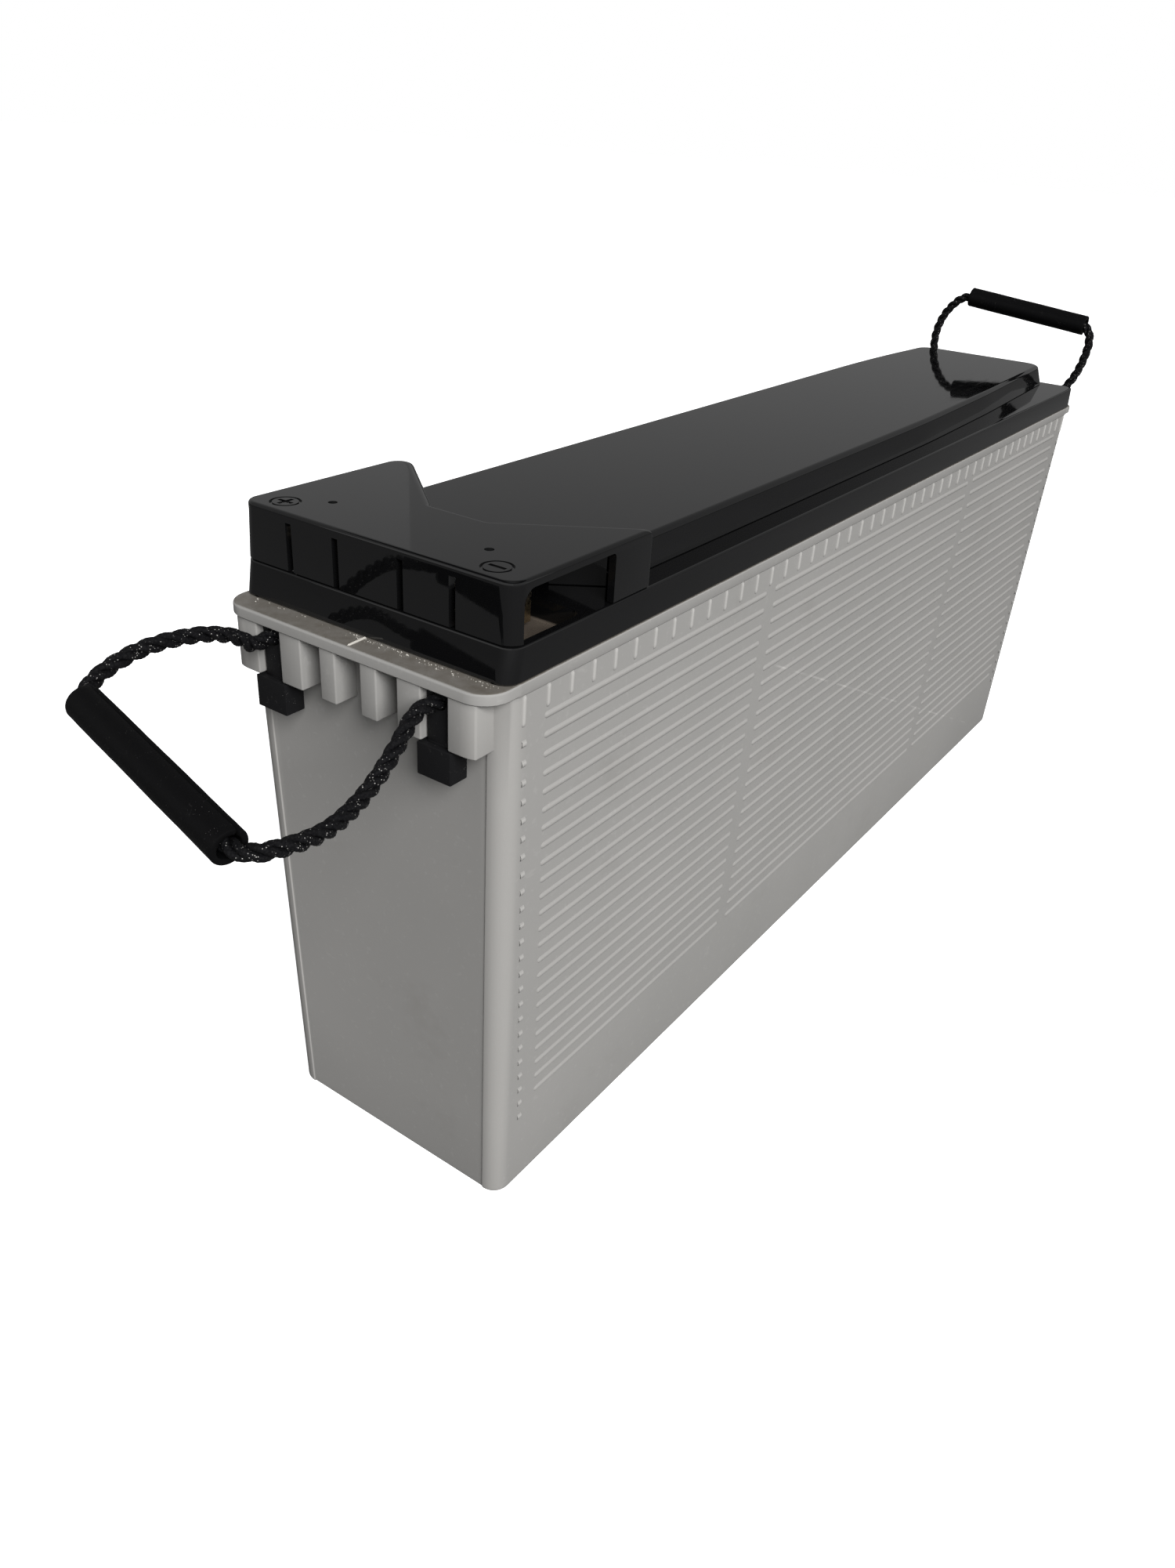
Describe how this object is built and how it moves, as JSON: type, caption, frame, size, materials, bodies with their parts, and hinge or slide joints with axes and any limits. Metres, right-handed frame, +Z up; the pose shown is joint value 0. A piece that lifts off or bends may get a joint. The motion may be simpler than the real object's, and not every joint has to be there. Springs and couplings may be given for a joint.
{
  "type": "deep cycle battery",
  "caption": "Slim front-terminal deep cycle battery: tapered grey ribbed case, glossy black lid, lift-off terminal cover, rope carry handles at both ends.",
  "frame": {"origin": "centre of the container's bottom face", "axes": "+X along the length towards the end away from the terminals, +Y towards the positive terminal's side, +Z up"},
  "size_m": [0.6475, 0.11, 0.2642],
  "materials": {
    "case_plastic": "satin grey ABS",
    "gloss_black": "high-gloss black ABS",
    "anchor_plastic": "matt black nylon",
    "grip_plastic": "matt black tube",
    "rope": "black laid polypropylene rope",
    "valve_rubber": "soft black rubber",
    "terminal_brass": "machined, tinned brass",
    "seal_positive": "red epoxy and rubber seal",
    "seal_negative": "black epoxy and rubber seal",
    "fastener_steel": "stainless fastener",
    "lead": "dull cast lead",
    "positive_paste": "pasted lead-dioxide plate",
    "negative_paste": "pasted spongy-lead plate",
    "glass_mat": "absorbent glass fibre mat"
  },
  "bodies": {
    "battery": {"container": "case_plastic", "lid": "gloss_black", "top_cover": "gloss_black", "positive_plates_1": "positive_paste", "negative_plates_1": "negative_paste", "glass_mat_1": "glass_mat", "positive_plates_2": "positive_paste", "negative_plates_2": "negative_paste", "glass_mat_2": "glass_mat", "positive_plates_3": "positive_paste", "negative_plates_3": "negative_paste", "glass_mat_3": "glass_mat", "positive_plates_4": "positive_paste", "negative_plates_4": "negative_paste", "glass_mat_4": "glass_mat", "positive_plates_5": "positive_paste", "negative_plates_5": "negative_paste", "glass_mat_5": "glass_mat", "positive_plates_6": "positive_paste", "negative_plates_6": "negative_paste", "glass_mat_6": "glass_mat", "intercell_weld_1": "lead", "intercell_weld_2": "lead", "intercell_weld_3": "lead", "intercell_weld_4": "lead", "intercell_weld_5": "lead", "terminal_positive": "terminal_brass", "terminal_seal_positive": "seal_positive", "flat_washer_positive": "fastener_steel", "spring_washer_positive": "fastener_steel", "terminal_bolt_positive": "fastener_steel", "terminal_negative": "terminal_brass", "terminal_seal_negative": "seal_negative", "flat_washer_negative": "fastener_steel", "spring_washer_negative": "fastener_steel", "terminal_bolt_negative": "fastener_steel", "near_anchor_left": "anchor_plastic", "near_rope_tail_left": "rope", "near_anchor_right": "anchor_plastic", "near_rope_tail_right": "rope", "far_anchor_left": "anchor_plastic", "far_rope_tail_left": "rope", "far_anchor_right": "anchor_plastic", "far_rope_tail_right": "rope"},
    "near_handle": {"near_rope": "rope"},
    "near_grip": {"near_grip": "grip_plastic"},
    "far_handle": {"far_rope": "rope"},
    "far_grip": {"far_grip": "grip_plastic"},
    "terminal_cover": {"terminal_cover": "gloss_black"},
    "vent_valve_1": {"vent_valve_1": "valve_rubber"},
    "vent_valve_2": {"vent_valve_2": "valve_rubber"},
    "vent_valve_3": {"vent_valve_3": "valve_rubber"},
    "vent_valve_4": {"vent_valve_4": "valve_rubber"},
    "vent_valve_5": {"vent_valve_5": "valve_rubber"},
    "vent_valve_6": {"vent_valve_6": "valve_rubber"}
  },
  "joints": [
    {"name": "near_handle_swing", "type": "hinge", "parent": "battery", "child": "near_handle", "pos_m": [-0.281, 0, 0.201], "axis": [0, 1, 0], "range_deg": [-65, 72]},
    {"name": "near_grip_turn", "type": "hinge", "parent": "near_handle", "child": "near_grip", "pos_m": [-0.3436, 0.0004, 0.1955], "axis": [-0.1435, -0.9744, -0.1732], "range_deg": [-180, 180]},
    {"name": "far_handle_swing", "type": "hinge", "parent": "battery", "child": "far_handle", "pos_m": [0.281, 0, 0.201], "axis": [0, 1, 0], "range_deg": [-25, 150]},
    {"name": "far_grip_turn", "type": "hinge", "parent": "far_handle", "child": "far_grip", "pos_m": [0.288, -0.0113, 0.2551], "axis": [0, -0.9946, -0.1039], "range_deg": [-180, 180]},
    {"name": "terminal_cover_lift", "type": "slide", "parent": "battery", "child": "terminal_cover", "axis": [0, 0, 1], "range_m": [0, 0.04]},
    {"name": "vent_valve_1_lift", "type": "slide", "parent": "battery", "child": "vent_valve_1", "axis": [0, 0, 1], "range_m": [0, 0.0008], "stiffness_N_per_m": 300},
    {"name": "vent_valve_2_lift", "type": "slide", "parent": "battery", "child": "vent_valve_2", "axis": [0, 0, 1], "range_m": [0, 0.0008], "stiffness_N_per_m": 300},
    {"name": "vent_valve_3_lift", "type": "slide", "parent": "battery", "child": "vent_valve_3", "axis": [0, 0, 1], "range_m": [0, 0.0008], "stiffness_N_per_m": 300},
    {"name": "vent_valve_4_lift", "type": "slide", "parent": "battery", "child": "vent_valve_4", "axis": [0, 0, 1], "range_m": [0, 0.0008], "stiffness_N_per_m": 300},
    {"name": "vent_valve_5_lift", "type": "slide", "parent": "battery", "child": "vent_valve_5", "axis": [0, 0, 1], "range_m": [0, 0.0008], "stiffness_N_per_m": 300},
    {"name": "vent_valve_6_lift", "type": "slide", "parent": "battery", "child": "vent_valve_6", "axis": [0, 0, 1], "range_m": [0, 0.0008], "stiffness_N_per_m": 300}
  ]
}
